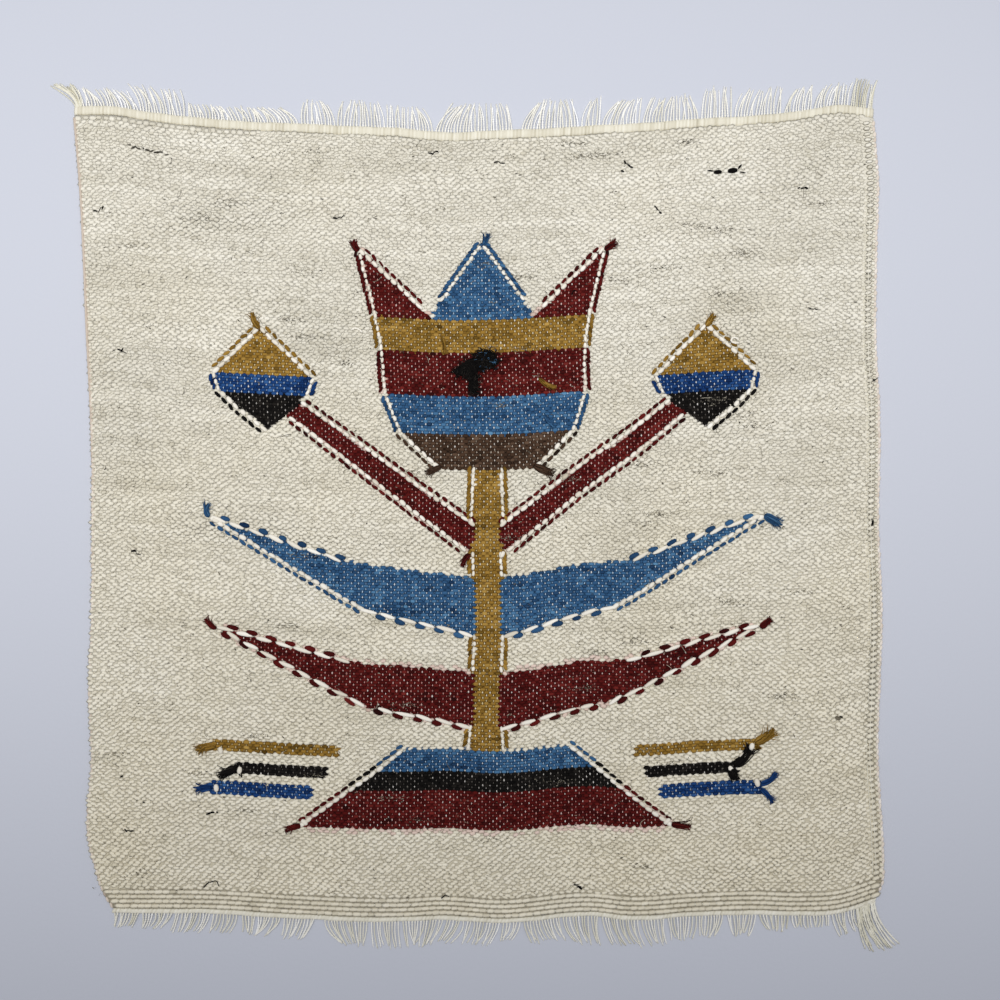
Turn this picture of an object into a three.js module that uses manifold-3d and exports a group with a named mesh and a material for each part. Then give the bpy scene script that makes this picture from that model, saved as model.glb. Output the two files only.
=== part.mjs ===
// A small hand-woven wall hanging, lying spread out with its face up. Millimetres, +Z up.
// +X runs across the cloth along its weft, +Y runs along its warp towards the wide cream heading.
// The origin lies under the middle of the whole piece, on the surface that it rests on.
import * as THREE from 'three';
import { mergeVertices } from 'three/addons/utils/BufferGeometryUtils.js';
import Module from 'manifold-3d';

// Driving dimensions
const pieceGap = 0.32;
const clothThickness = 2.6;
const cell = { across: 16, along: 18 };

// The soft thick and thin places of hand-spun weft: two crossing waves in the upper face.
const unevenness = [
  { height: 0.15, across: 61, along: 47, shiftAcross: 1.3, shiftAlong: 0.4 },
  { height: 0.1, across: 47, along: 61, shiftAcross: -0.8, shiftAlong: 3.7 },
];

// Raised lines that run the whole way: the doubled warps inside the right selvage, and the last picks.
const selvageRib = { inset: 5.2, halfWidth: 1.7, height: 0.7 };
const pickRibs = { count: 4, pitch: 2.7, height: 0.4 };

const topHeading = { width: 5.2, height: 2.3, shoulder: 1.6 };
const bottomHeading = { width: 2.8, height: 2.5, shoulder: 1.7 };

// One warp end: how deep its root sits in the heading, how it bends sideways, and its sections,
// each a share of the way to the tip, a lift off the surface and a width.
const strand = { height: 1.0, rootDepth: 0.9, bend: 1.5 };
const strandSections = [
  { share: 0, lift: 0.35, width: 1.15 },
  { share: 0.3, lift: 0, width: 1.15 },
  { share: 0.65, lift: 0, width: 1.15 },
  { share: 1, lift: 0, width: 0.75 },
];

// The cloth's two selvages, from the bottom to the top. They are drawn in a little and waver.
const selvages = [
  { y: -229.7, left: -210.5, right: 232.6 },
  { y: -221.6, left: -215.5, right: 236.6 },
  { y: -211.1, left: -219.2, right: 237.2 },
  { y: -193.7, left: -223.9, right: 236.6 },
  { y: -141.5, left: -222.7, right: 233.7 },
  { y: -100.9, left: -224.2, right: 235.2 },
  { y: -60.3, left: -222.7, right: 236.1 },
  { y: -13.9, left: -222.4, right: 234.3 },
  { y: 55.7, left: -223.0, right: 234.9 },
  { y: 102.1, left: -225.0, right: 232.6 },
  { y: 160.1, left: -227.4, right: 233.2 },
  { y: 192.0, left: -229.1, right: 234.0 },
  { y: 233.2, left: -232.6, right: 231.4 },
];

// The middle lines of the two headings, from left to right.
const topLine = [
  { x: -232.6, y: 235.5 },
  { x: -217.5, y: 235.8 },
  { x: -182.7, y: 231.5 },
  { x: -159.5, y: 228.8 },
  { x: -101.5, y: 225.4 },
  { x: -43.5, y: 222.7 },
  { x: -20.3, y: 220.7 },
  { x: 14.5, y: 221.6 },
  { x: 72.5, y: 224.5 },
  { x: 130.5, y: 228.3 },
  { x: 188.5, y: 232.7 },
  { x: 213.4, y: 236.5 },
  { x: 231.4, y: 234.0 },
];
const bottomLine = [
  { x: -210.5, y: -229.3 },
  { x: -147.3, y: -230.0 },
  { x: -101.5, y: -232.8 },
  { x: -38.9, y: -234.2 },
  { x: -20.3, y: -233.2 },
  { x: 13.3, y: -235.2 },
  { x: 70.2, y: -231.4 },
  { x: 87.0, y: -233.2 },
  { x: 129.3, y: -231.2 },
  { x: 161.8, y: -230.2 },
  { x: 188.5, y: -231.0 },
  { x: 212.3, y: -229.4 },
  { x: 232.6, y: -223.0 },
];

// Warp ends hang together in locks. A row is one lock: where its roots and its tips begin and end
// along X, how far it reaches from the heading's middle line, and how many ends it has.
const topLocks = [
  { from: -231.9, to: -229.1, tipFrom: -246.5, tipTo: -235.5, reach: 15.6, ends: 4 },
  { from: -227.4, to: -196.0, tipFrom: -231.6, tipTo: -204.7, reach: 13.7, ends: 11 },
  { from: -194.2, to: -168.8, tipFrom: -200.1, tipTo: -173.3, reach: 18.3, ends: 9 },
  { from: -166.2, to: -140.4, tipFrom: -168.4, tipTo: -143.8, reach: 11.1, ends: 9 },
  { from: -138.0, to: -103.2, tipFrom: -141.5, tipTo: -112.5, reach: 11.8, ends: 12 },
  { from: -100.3, to: -81.8, tipFrom: -99.8, tipTo: -86.4, reach: 16.9, ends: 7 },
  { from: -79.5, to: -52.8, tipFrom: -76.6, tipTo: -56.3, reach: 17.5, ends: 9 },
  { from: -51.0, to: -24.9, tipFrom: -50.5, tipTo: -29.6, reach: 16.1, ends: 9 },
  { from: -22.6, to: 7.0, tipFrom: -12.2, tipTo: 5.1, reach: 19.4, ends: 10 },
  { from: 9.3, to: 21.5, tipFrom: 8.9, tipTo: 18.0, reach: 18.5, ends: 5 },
  { from: 27.3, to: 59.7, tipFrom: 36.0, tipTo: 54.8, reach: 19.4, ends: 11 },
  { from: 62.4, to: 72.0, tipFrom: 66.9, tipTo: 73.1, reach: 19.4, ends: 4 },
  { from: 74.4, to: 95.0, tipFrom: 82.9, tipTo: 98.2, reach: 17.2, ends: 8 },
  { from: 97.6, to: 129.5, tipFrom: 103.2, tipTo: 126.3, reach: 17.6, ends: 11 },
  { from: 131.9, to: 148.6, tipFrom: 134.0, tipTo: 148.5, reach: 20.9, ends: 6 },
  { from: 151.0, to: 177.0, tipFrom: 156.6, tipTo: 179.0, reach: 18.6, ends: 9 },
  { from: 179.6, to: 194.9, tipFrom: 186.0, tipTo: 196.3, reach: 16.8, ends: 6 },
  { from: 197.4, to: 216.3, tipFrom: 202.4, tipTo: 218.1, reach: 15.7, ends: 7 },
  { from: 218.6, to: 230.2, tipFrom: 222.0, tipTo: 233.2, reach: 17.8, ends: 5 },
];
const bottomLocks = [
  { from: -209.3, to: -195.5, tipFrom: -210.0, tipTo: -199.5, reach: 10.2, ends: 5 },
  { from: -192.9, to: -176.3, tipFrom: -194.7, tipTo: -182.5, reach: 10.6, ends: 6 },
  { from: -173.6, to: -154.3, tipFrom: -176.3, tipTo: -159.8, reach: 12.7, ends: 7 },
  { from: -151.6, to: -138.6, tipFrom: -153.9, tipTo: -142.7, reach: 12.9, ends: 5 },
  { from: -135.1, to: -113.5, tipFrom: -134.6, tipTo: -122.0, reach: 12.8, ends: 8 },
  { from: -110.8, to: -93.4, tipFrom: -113.5, tipTo: -99.8, reach: 13.2, ends: 6 },
  { from: -87.0, to: -62.9, tipFrom: -77.7, tipTo: -64.5, reach: 16.0, ends: 8 },
  { from: -60.1, to: -44.6, tipFrom: -57.9, tipTo: -43.2, reach: 17.2, ends: 6 },
  { from: -42.0, to: -18.9, tipFrom: -38.9, tipTo: -26.3, reach: 16.9, ends: 8 },
  { from: -16.2, to: -7.0, tipFrom: -22.0, tipTo: -15.1, reach: 14.5, ends: 4 },
  { from: -4.1, to: 14.1, tipFrom: -6.8, tipTo: 7.9, reach: 14.7, ends: 7 },
  { from: 16.8, to: 26.1, tipFrom: 14.7, tipTo: 21.4, reach: 11.9, ends: 4 },
  { from: 28.6, to: 48.9, tipFrom: 33.1, tipTo: 52.4, reach: 14.7, ends: 8 },
  { from: 51.3, to: 71.1, tipFrom: 58.6, tipTo: 72.3, reach: 18.0, ends: 8 },
  { from: 74.0, to: 94.4, tipFrom: 80.6, tipTo: 98.6, reach: 17.6, ends: 8 },
  { from: 97.0, to: 109.6, tipFrom: 102.9, tipTo: 110.8, reach: 16.4, ends: 5 },
  { from: 112.0, to: 128.1, tipFrom: 115.4, tipTo: 126.0, reach: 15.5, ends: 6 },
  { from: 130.5, to: 143.8, tipFrom: 131.1, tipTo: 139.1, reach: 14.4, ends: 5 },
  { from: 146.5, to: 163.0, tipFrom: 149.5, tipTo: 159.5, reach: 14.3, ends: 6 },
  { from: 165.5, to: 181.7, tipFrom: 170.1, tipTo: 180.3, reach: 10.7, ends: 6 },
  { from: 184.1, to: 205.3, tipFrom: 185.4, tipTo: 205.2, reach: 9.0, ends: 8 },
  { from: 207.6, to: 221.9, tipFrom: 211.9, tipTo: 224.6, reach: 14.4, ends: 6 },
  { from: 223.9, to: 231.3, tipFrom: 231.7, tipTo: 246.5, reach: 27.5, ends: 5 },
];

// Faint ridges left by folding and packing: middle, direction in degrees from +X, and size.
const creases = [
  { x: -144, y: 176, turn: 3, length: 150, width: 26, height: 1.0 },
  { x: -138, y: -3, turn: -2, length: 160, width: 30, height: 1.3 },
  { x: -20, y: -52, turn: 4, length: 170, width: 26, height: 0.9 },
  { x: 150, y: 96, turn: 78, length: 150, width: 28, height: 0.9 },
  { x: 158, y: -202, turn: 16, length: 92, width: 22, height: 1.5 },
];

const wasm = await Module();
wasm.setup();

// One column of a table as a function of another, smooth or from corner to corner.
function curveOf(rows, along, column, Interpolant = THREE.CubicInterpolant) {
  const places = rows.map((row) => row[along]);
  const values = rows.map((row) => row[column]);
  const curve = new Interpolant(places, values, 1);
  return (at) => curve.evaluate(at)[0];
}

const leftAt = curveOf(selvages, 'y', 'left');
const rightAt = curveOf(selvages, 'y', 'right');
const topLineAt = curveOf(topLine, 'x', 'y');
const bottomLineAt = curveOf(bottomLine, 'x', 'y');

const clothTopAt = (x) => topLineAt(x) - topHeading.width / 2 - pieceGap;
const clothBottomAt = (x) => bottomLineAt(x) + bottomHeading.width / 2 + pieceGap;

// A hump that is 1 in the middle and falls softly to exactly 0 at -1 and 1.
function hump(at) {
  return Math.abs(at) < 1 ? 0.5 + 0.5 * Math.cos(Math.PI * at) : 0;
}

// How high the creases lift the cloth off the surface.
function liftAt(x, y) {
  let lift = 0;
  for (const crease of creases) {
    const turn = THREE.MathUtils.degToRad(crease.turn);
    const along = (x - crease.x) * Math.cos(turn) + (y - crease.y) * Math.sin(turn);
    const across = (y - crease.y) * Math.cos(turn) - (x - crease.x) * Math.sin(turn);
    lift += crease.height * hump(2 * along / crease.length) * hump(2 * across / crease.width);
  }
  return lift;
}

function unevenAt(x, y) {
  let rise = 0;
  for (const wave of unevenness) {
    const across = Math.sin(x / wave.across + wave.shiftAcross);
    const along = Math.sin(y / wave.along + wave.shiftAlong);
    rise += wave.height * across * along;
  }
  return rise;
}

// Columns of the cloth's grid: a share of the plain width, then distances in from the right selvage.
function gridColumns() {
  const count = Math.round((rightAt(0) - leftAt(0)) / cell.across);
  const inner = selvageRib.inset + selvageRib.halfWidth;
  const plain = Array.from({ length: count }, (_, i) => ({ share: i / count, inset: inner, rise: 0 }));
  const rib = [
    { share: 1, inset: inner, rise: 0 },
    { share: 1, inset: selvageRib.inset, rise: selvageRib.height },
    { share: 1, inset: selvageRib.inset - selvageRib.halfWidth, rise: 0 },
    { share: 1, inset: 0, rise: 0 },
  ];
  return [...plain, ...rib];
}

// Rows of the cloth's grid: a share of the plain length, then distances up from the lower edge.
function gridRows() {
  const band = pickRibs.count * pickRibs.pitch;
  const count = Math.round((clothTopAt(0) - clothBottomAt(0) - band) / cell.along);
  const plain = Array.from({ length: count }, (_, i) => ({ share: i / count, inset: band, rise: 0 }));
  const ribs = [];
  for (let half = 2 * pickRibs.count; half >= 0; half -= 1) {
    const rise = half % 2 === 1 ? pickRibs.height : 0;
    ribs.push({ share: 1, inset: half * pickRibs.pitch / 2, rise });
  }
  return [...plain, ...ribs];
}

function clothPoint(column, row) {
  const nominalY = THREE.MathUtils.lerp(selvages.at(-1).y, selvages[0].y + row.inset, row.share);
  const left = leftAt(nominalY);
  const right = rightAt(nominalY);
  const x = THREE.MathUtils.lerp(left, right - column.inset, column.share);
  const y = THREE.MathUtils.lerp(clothTopAt(x), clothBottomAt(x) + row.inset, row.share);
  return new THREE.Vector2(x, y);
}

// A closed sheet over a grid: upper points, then lower points, then the four edges.
function sheetGeometry(upper, lower) {
  const rowCount = upper.length;
  const columnCount = upper[0].length;
  const points = [...upper.flat(), ...lower.flat()];
  const top = (row, column) => row * columnCount + column;
  const under = (row, column) => rowCount * columnCount + top(row, column);
  const faces = [];
  const quad = (a, b, c, d) => faces.push(a, b, c, a, c, d);
  for (let row = 0; row + 1 < rowCount; row += 1) {
    for (let column = 0; column + 1 < columnCount; column += 1) {
      quad(top(row, column), top(row + 1, column), top(row + 1, column + 1), top(row, column + 1));
      quad(under(row, column), under(row, column + 1), under(row + 1, column + 1), under(row + 1, column));
    }
  }
  const lastRow = rowCount - 1;
  const lastColumn = columnCount - 1;
  for (let column = 0; column < lastColumn; column += 1) {
    quad(top(0, column), top(0, column + 1), under(0, column + 1), under(0, column));
    quad(top(lastRow, column + 1), top(lastRow, column), under(lastRow, column), under(lastRow, column + 1));
  }
  for (let row = 0; row < lastRow; row += 1) {
    quad(top(row + 1, 0), top(row, 0), under(row, 0), under(row + 1, 0));
    quad(top(row, lastColumn), top(row + 1, lastColumn), under(row + 1, lastColumn), under(row, lastColumn));
  }
  const geometry = new THREE.BufferGeometry().setFromPoints(points);
  geometry.setIndex(faces);
  return geometry;
}

function clothGeometry() {
  const rows = gridRows();
  const columns = gridColumns();
  const upper = rows.map((row) => columns.map((column) => {
    const place = clothPoint(column, row);
    const rise = row.rise + column.rise + unevenAt(place.x, place.y);
    return new THREE.Vector3(place.x, place.y, liftAt(place.x, place.y) + clothThickness + rise);
  }));
  const lower = rows.map((row) => columns.map((column) => {
    const place = clothPoint(column, row);
    return new THREE.Vector3(place.x, place.y, liftAt(place.x, place.y));
  }));
  return sheetGeometry(upper, lower);
}

// A closed bar through like sections, each a ring of points in the same order.
function barGeometry(sections) {
  const sides = sections[0].length;
  const points = sections.flat();
  const faces = [];
  for (let section = 0; section + 1 < sections.length; section += 1) {
    for (let side = 0; side < sides; side += 1) {
      const a = section * sides + side;
      const b = section * sides + (side + 1) % sides;
      faces.push(a, b, b + sides, a, b + sides, a + sides);
    }
  }
  const end = (sections.length - 1) * sides;
  for (let side = 1; side + 1 < sides; side += 1) {
    faces.push(0, side + 1, side);
    faces.push(end, end + side, end + side + 1);
  }
  const geometry = new THREE.BufferGeometry().setFromPoints(points);
  geometry.setIndex(faces);
  return geometry;
}

// A heading's cross-section: flat below, a low crown above.
function headingRing(x, y, heading) {
  const half = heading.width / 2;
  return [
    new THREE.Vector3(x, y - half, 0),
    new THREE.Vector3(x, y + half, 0),
    new THREE.Vector3(x, y + half, heading.shoulder),
    new THREE.Vector3(x, y, heading.height),
    new THREE.Vector3(x, y - half, heading.shoulder),
  ];
}

// A heading turns where the cloth's own edge does, so the gap between them is even.
function headingCorners(edgeRow, lineAt) {
  return gridColumns().map((column) => {
    const { x } = clothPoint(column, edgeRow);
    return { x, y: lineAt(x) };
  });
}

// One three-sided strand: its root inside the heading, the rest level on the surface.
function strandBar(rootX, rootY, tipX, reach, outward) {
  const rings = strandSections.map(({ share, lift, width }) => {
    const x = THREE.MathUtils.lerp(rootX, tipX, share ** strand.bend);
    const y = rootY + outward * reach * share;
    const side = outward * width / 2;
    return [
      new THREE.Vector3(x + side, y, lift),
      new THREE.Vector3(x - side, y, lift),
      new THREE.Vector3(x, y, lift + strand.height),
    ];
  });
  return barGeometry(rings);
}

function solidOf(geometry) {
  const merged = mergeVertices(geometry);
  const vertProperties = merged.getAttribute('position').array;
  const triVerts = Uint32Array.from(merged.index.array);
  return new wasm.Manifold(new wasm.Mesh({ numProp: 3, vertProperties, triVerts }));
}

function geometryOf(solid) {
  const mesh = solid.getMesh();
  const geometry = new THREE.BufferGeometry();
  geometry.setAttribute('position', new THREE.BufferAttribute(mesh.vertProperties, 3));
  geometry.setIndex(new THREE.BufferAttribute(mesh.triVerts, 1));
  return geometry;
}

// A heading with its warp ends fused into it. Outward is 1 towards +Y and -1 towards -Y.
function fringedHeading(edgeRow, lineAt, heading, locks, outward) {
  const corners = headingCorners(edgeRow, lineAt);
  const middleAt = curveOf(corners, 'x', 'y', THREE.LinearInterpolant);
  const rings = corners.map((corner) => headingRing(corner.x, corner.y, heading));
  let solid = solidOf(barGeometry(rings));
  const rootOffset = heading.width / 2 - strand.rootDepth;
  for (const lock of locks) {
    for (let end = 0; end < lock.ends; end += 1) {
      const share = end / (lock.ends - 1);
      const rootX = THREE.MathUtils.lerp(lock.from, lock.to, share);
      const tipX = THREE.MathUtils.lerp(lock.tipFrom, lock.tipTo, share);
      const rootY = middleAt(rootX) + outward * rootOffset;
      const bar = strandBar(rootX, rootY, tipX, lock.reach - rootOffset, outward);
      solid = solid.add(solidOf(bar));
    }
  }
  return geometryOf(solid);
}

function cottonAndWool(color) {
  return new THREE.MeshStandardMaterial({ color, roughness: 0.95, metalness: 0 });
}

function namedMesh(name, geometry, material) {
  const mesh = new THREE.Mesh(geometry, material);
  mesh.name = name;
  return mesh;
}

const group = new THREE.Group();
group.add(namedMesh('cloth', clothGeometry(), cottonAndWool('#d0cab8')));
group.add(namedMesh(
  'top_heading',
  fringedHeading(gridRows()[0], topLineAt, topHeading, topLocks, 1),
  cottonAndWool('#ece5cf'),
));
group.add(namedMesh(
  'bottom_heading',
  fringedHeading(gridRows().at(-1), bottomLineAt, bottomHeading, bottomLocks, -1),
  cottonAndWool('#e0d9c4'),
));

export default group;
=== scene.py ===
# A small hand-woven wall hanging, lying spread out and seen from straight above.
# Lengths in the tables are millimetres; Blender gets metres. +X along the weft, +Y along the warp, +Z up.
import math
import bpy
import numpy as np
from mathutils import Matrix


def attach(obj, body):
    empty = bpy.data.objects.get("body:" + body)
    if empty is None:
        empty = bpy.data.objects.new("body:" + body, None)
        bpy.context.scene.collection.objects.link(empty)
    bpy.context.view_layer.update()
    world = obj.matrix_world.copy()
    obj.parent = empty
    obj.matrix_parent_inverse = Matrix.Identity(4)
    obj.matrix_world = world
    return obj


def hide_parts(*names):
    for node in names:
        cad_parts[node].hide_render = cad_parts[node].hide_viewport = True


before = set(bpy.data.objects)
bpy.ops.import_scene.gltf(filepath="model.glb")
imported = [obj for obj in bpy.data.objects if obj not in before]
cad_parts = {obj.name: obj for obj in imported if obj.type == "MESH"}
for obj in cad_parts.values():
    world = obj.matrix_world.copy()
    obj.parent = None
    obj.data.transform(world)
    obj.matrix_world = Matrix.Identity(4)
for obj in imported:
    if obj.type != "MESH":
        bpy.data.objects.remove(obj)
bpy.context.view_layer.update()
print("frame loaded")

mm = 0.001
up = np.array([0.0, 0.0, 1.0])

# The sett: how many warp ends and picks the cloth has, and what they come to on the loom.
weave = {"warps": 220, "picks": 285, "warpPitch": 2.09, "pickPitch": 1.6}
cloth = {"thickness": 2.6, "gap": 0.32, "topHeading": 5.2, "bottomHeading": 2.8, "yarnSink": 0.65}

# The two selvages: y, left, right.
selvageRows = [
    (-229.7, -210.5, 232.6), (-221.6, -215.5, 236.6), (-211.1, -219.2, 237.2), (-193.7, -223.9, 236.6),
    (-141.5, -222.7, 233.7), (-100.9, -224.2, 235.2), (-60.3, -222.7, 236.1), (-13.9, -222.4, 234.3),
    (55.7, -223.0, 234.9), (102.1, -225.0, 232.6), (160.1, -227.4, 233.2), (192.0, -229.1, 234.0),
    (233.2, -232.6, 231.4),
]

# The middle lines of the two headings: x, y.
topLineRows = [
    (-232.6, 235.5), (-217.5, 235.8), (-182.7, 231.5), (-159.5, 228.8), (-101.5, 225.4), (-43.5, 222.7),
    (-20.3, 220.7), (14.5, 221.6), (72.5, 224.5), (130.5, 228.3), (188.5, 232.7), (213.4, 236.5),
    (231.4, 234.0),
]
bottomLineRows = [
    (-210.5, -229.3), (-147.3, -230.0), (-101.5, -232.8), (-38.9, -234.2), (-20.3, -233.2), (13.3, -235.2),
    (70.2, -231.4), (87.0, -233.2), (129.3, -231.2), (161.8, -230.2), (188.5, -231.0), (212.3, -229.4),
    (232.6, -223.0),
]

# Warp ends lie together in locks: roots from and to, tips from and to, reach, and strands (0: by the sett).
topLocks = [
    (-231.9, -228.6, -246.5, -234.5, 15.6, 14), (-227.4, -196.0, -231.6, -204.7, 13.7, 0),
    (-194.2, -168.8, -200.1, -173.3, 18.3, 0), (-166.2, -140.4, -168.4, -143.8, 11.1, 0),
    (-138.0, -103.2, -141.5, -112.5, 11.8, 0), (-100.3, -81.8, -99.8, -86.4, 16.9, 0),
    (-79.5, -52.8, -76.6, -56.3, 17.5, 0), (-51.0, -24.9, -50.5, -29.6, 16.1, 0),
    (-22.6, 7.0, -12.2, 5.1, 19.4, 0), (9.3, 21.5, 8.9, 18.0, 18.5, 0), (27.3, 59.7, 36.0, 54.8, 19.4, 0),
    (62.4, 72.0, 66.9, 73.1, 19.4, 0), (74.4, 95.0, 82.9, 98.2, 17.2, 0),
    (97.6, 129.5, 103.2, 126.3, 17.6, 0), (131.9, 148.6, 134.0, 148.5, 20.9, 0),
    (151.0, 177.0, 156.6, 179.0, 18.6, 0), (179.6, 194.9, 186.0, 196.3, 16.8, 0),
    (197.4, 216.3, 202.4, 218.1, 15.7, 0), (218.6, 230.6, 221.0, 233.4, 18.6, 11),
]
bottomLocks = [
    (-209.3, -195.5, -210.0, -199.5, 10.2, 0), (-192.9, -176.3, -194.7, -182.5, 10.6, 0),
    (-173.6, -154.3, -176.3, -159.8, 12.7, 0), (-151.6, -138.6, -153.9, -142.7, 12.9, 0),
    (-135.1, -113.5, -134.6, -122.0, 12.8, 0), (-110.8, -93.4, -113.5, -99.8, 13.2, 0),
    (-87.0, -62.9, -77.7, -64.5, 16.0, 0), (-60.1, -44.6, -57.9, -43.2, 17.2, 0),
    (-42.0, -18.9, -38.9, -26.3, 16.9, 0), (-16.2, -7.0, -22.0, -15.1, 14.5, 0),
    (-4.1, 14.1, -6.8, 7.9, 14.7, 0), (16.8, 26.1, 14.7, 21.4, 11.9, 0), (28.6, 48.9, 33.1, 52.4, 14.7, 0),
    (51.3, 71.1, 58.6, 72.3, 18.0, 0), (74.0, 94.4, 80.6, 98.6, 17.6, 0),
    (97.0, 109.6, 102.9, 110.8, 16.4, 0), (112.0, 128.1, 115.4, 126.0, 15.5, 0),
    (130.5, 143.8, 131.1, 139.1, 14.4, 0), (146.5, 163.0, 149.5, 159.5, 14.3, 0),
    (165.5, 181.7, 170.1, 180.3, 10.7, 0), (184.1, 205.3, 185.4, 205.2, 9.0, 0),
    (207.6, 221.9, 211.9, 224.6, 14.4, 0), (221.5, 232.2, 227.5, 246.8, 27.5, 18),
]

# Faint ridges left by folding: middle x, y, direction in degrees, length, width, height.
creaseRows = [
    (-144, 176, 3, 150, 26, 1.0), (-138, -3, -2, 160, 30, 1.3), (-20, -52, 4, 170, 26, 0.9),
    (150, 96, 78, 150, 28, 0.9), (158, -202, 16, 92, 22, 1.5),
]
# Soft thick and thin places of hand-spun weft: height, wave across, wave along, shifts.
unevenRows = [(0.15, 61, 47, 1.3, 0.4), (0.1, 47, 61, -0.8, 3.7)]
selvageRib = {"inset": 5.2, "halfWidth": 1.7, "height": 0.7}
# Half length, half width and height of each form.
boldPicks = {"count": 4, "pitch": 2.7, "float": (3.5, 1.52, 1.0), "dot": (0.42, 0.62, 0.4), "dotShare": 0.7}
looseLoops = {"left": -230, "right": -128, "pitch": 3.9, "reach": 3.4,
              "float": (2.3, 1.75, 0.7), "end": (1.7, 0.3, 0.4), "endShare": 0.35}
selvageColumns = {"warps": 3, "insets": (4.6, 1.6)}


def addObject(name, data):
    thing = bpy.data.objects.new(name, data)
    bpy.context.scene.collection.objects.link(thing)
    return thing


# Camera

camera = {"x": 14.5, "y": 9.3, "height": 808.2, "lens": 50, "sensor": 36}
cameraData = bpy.data.cameras.new("camera")
cameraData.lens = camera["lens"]
cameraData.sensor_width = camera["sensor"]
cameraData.clip_start = 0.01
cameraObject = addObject("camera", cameraData)
cameraObject.location = (camera["x"] * mm, camera["y"] * mm, camera["height"] * mm)
bpy.context.scene.camera = cameraObject
print("camera made")


# The shape of the cloth

def smoothCurve(rows, column):
    places = np.array([row[0] for row in rows], float)
    values = np.array([row[column] for row in rows], float)
    slopes = np.gradient(values, places)

    def curve(at):
        at = np.clip(at, places[0], places[-1])
        i = np.clip(np.searchsorted(places, at) - 1, 0, len(places) - 2)
        span = places[i + 1] - places[i]
        t = (at - places[i]) / span
        start = (1 + 2 * t) * (1 - t) ** 2 * values[i] + t * (1 - t) ** 2 * span * slopes[i]
        end = t * t * (3 - 2 * t) * values[i + 1] + t * t * (t - 1) * span * slopes[i + 1]
        return start + end

    return curve


leftAt = smoothCurve(selvageRows, 1)
rightAt = smoothCurve(selvageRows, 2)
topLineAt = smoothCurve(topLineRows, 1)
bottomLineAt = smoothCurve(bottomLineRows, 1)


# A place in the weave, as a share of the warps and of the picks, to its place on the floor.
def placeOf(acrossShare, alongShare):
    nominal = selvageRows[0][0] + (selvageRows[-1][0] - selvageRows[0][0]) * alongShare
    left = leftAt(nominal)
    x = left + (rightAt(nominal) - left) * acrossShare
    bottom = bottomLineAt(x) + cloth["bottomHeading"] / 2 + cloth["gap"]
    top = topLineAt(x) - cloth["topHeading"] / 2 - cloth["gap"]
    return x, bottom + (top - bottom) * alongShare


def hump(at):
    return np.where(np.abs(at) < 1, 0.5 + 0.5 * np.cos(np.pi * np.clip(at, -1, 1)), 0.0)


# The rise of the folding creases over the floor.
def liftAt(x, y):
    lift = 0 * x
    for midX, midY, turn, length, width, height in creaseRows:
        angle = math.radians(turn)
        along = (x - midX) * math.cos(angle) + (y - midY) * math.sin(angle)
        across = (y - midY) * math.cos(angle) - (x - midX) * math.sin(angle)
        lift = lift + height * hump(2 * along / length) * hump(2 * across / width)
    return lift


# The height of the upper face.
def faceAt(x, y):
    rise = 0 * x
    for height, across, along, shiftAcross, shiftAlong in unevenRows:
        rise = rise + height * np.sin(x / across + shiftAcross) * np.sin(y / along + shiftAlong)
    inset = rightAt(y) - x
    rib = selvageRib["height"] * hump((inset - selvageRib["inset"]) / selvageRib["halfWidth"])
    return liftAt(x, y) + cloth["thickness"] + rise + rib


# How far a place is from the upper part of the cloth to its lower part, from 0 to 1.
def downwardAt(y):
    return np.clip((120 - y) / 320, 0, 1)


# Points on the upper face, or so far over or under it.
def onFace(x, y, rise):
    return np.stack([x, y, faceAt(x, y) + rise], -1)


# Level directions at angles from the weft.
def levelAt(angle):
    return np.stack([np.cos(angle), np.sin(angle), 0 * angle], -1)


# Mesh building

def unit(vectors):
    return vectors / np.maximum(np.linalg.norm(vectors, axis=-1, keepdims=True), 1e-9)


# A shape stamped many times. Each stamp has its place, its direction and its three half sizes.
def stamps(shape, places, directions, sizes, slots=0, tones=0.5):
    points, groups = shape
    count = len(places)
    along = unit(directions)
    across = unit(np.cross(up, along))
    lift = np.cross(along, across)
    sizes = np.broadcast_to(sizes, (count, 3))
    local = points[None] * sizes[:, None]
    world = (places[:, None] + local[..., :1] * along[:, None] + local[..., 1:2] * across[:, None]
             + local[..., 2:] * lift[:, None])
    offset = np.arange(count)[:, None, None] * len(points)
    faces = [(group[None] + offset).reshape(-1, group.shape[1]) for group in groups]
    slots = np.broadcast_to(slots, count)
    faceSlots = [np.repeat(slots, len(group)) for group in groups]
    pointTones = np.repeat(np.broadcast_to(tones, count), len(points))
    return world.reshape(-1, 3), faces, faceSlots, pointTones


# Closed round yarns through paths of the same number of points.
def yarns(paths, radii, sides=5, slots=0, tones=0.5):
    count, steps = paths.shape[:2]
    along = unit(np.gradient(paths, axis=1))
    side = unit(np.cross(along, up))
    lift = np.cross(side, along)
    radii = np.broadcast_to(radii, (count, steps))[..., None, None]
    angle = 2 * np.pi * np.arange(sides) / sides
    ring = np.cos(angle)[:, None] * side[:, :, None] + np.sin(angle)[:, None] * lift[:, :, None]
    points = paths[:, :, None] + radii * ring
    index = np.arange(count * steps * sides).reshape(count, steps, sides)
    low, high = index[:, :-1], index[:, 1:]
    quads = np.stack([low, high, np.roll(high, -1, 2), np.roll(low, -1, 2)], -1).reshape(-1, 4)
    ends = np.concatenate([index[:, 0], index[:, -1, ::-1]])
    slots = np.broadcast_to(slots, count)
    faceSlots = [np.repeat(slots, (steps - 1) * sides), np.concatenate([slots, slots])]
    pointTones = np.repeat(np.broadcast_to(tones, count), steps * sides)
    return points.reshape(-1, 3), [quads, ends], faceSlots, pointTones


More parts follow.
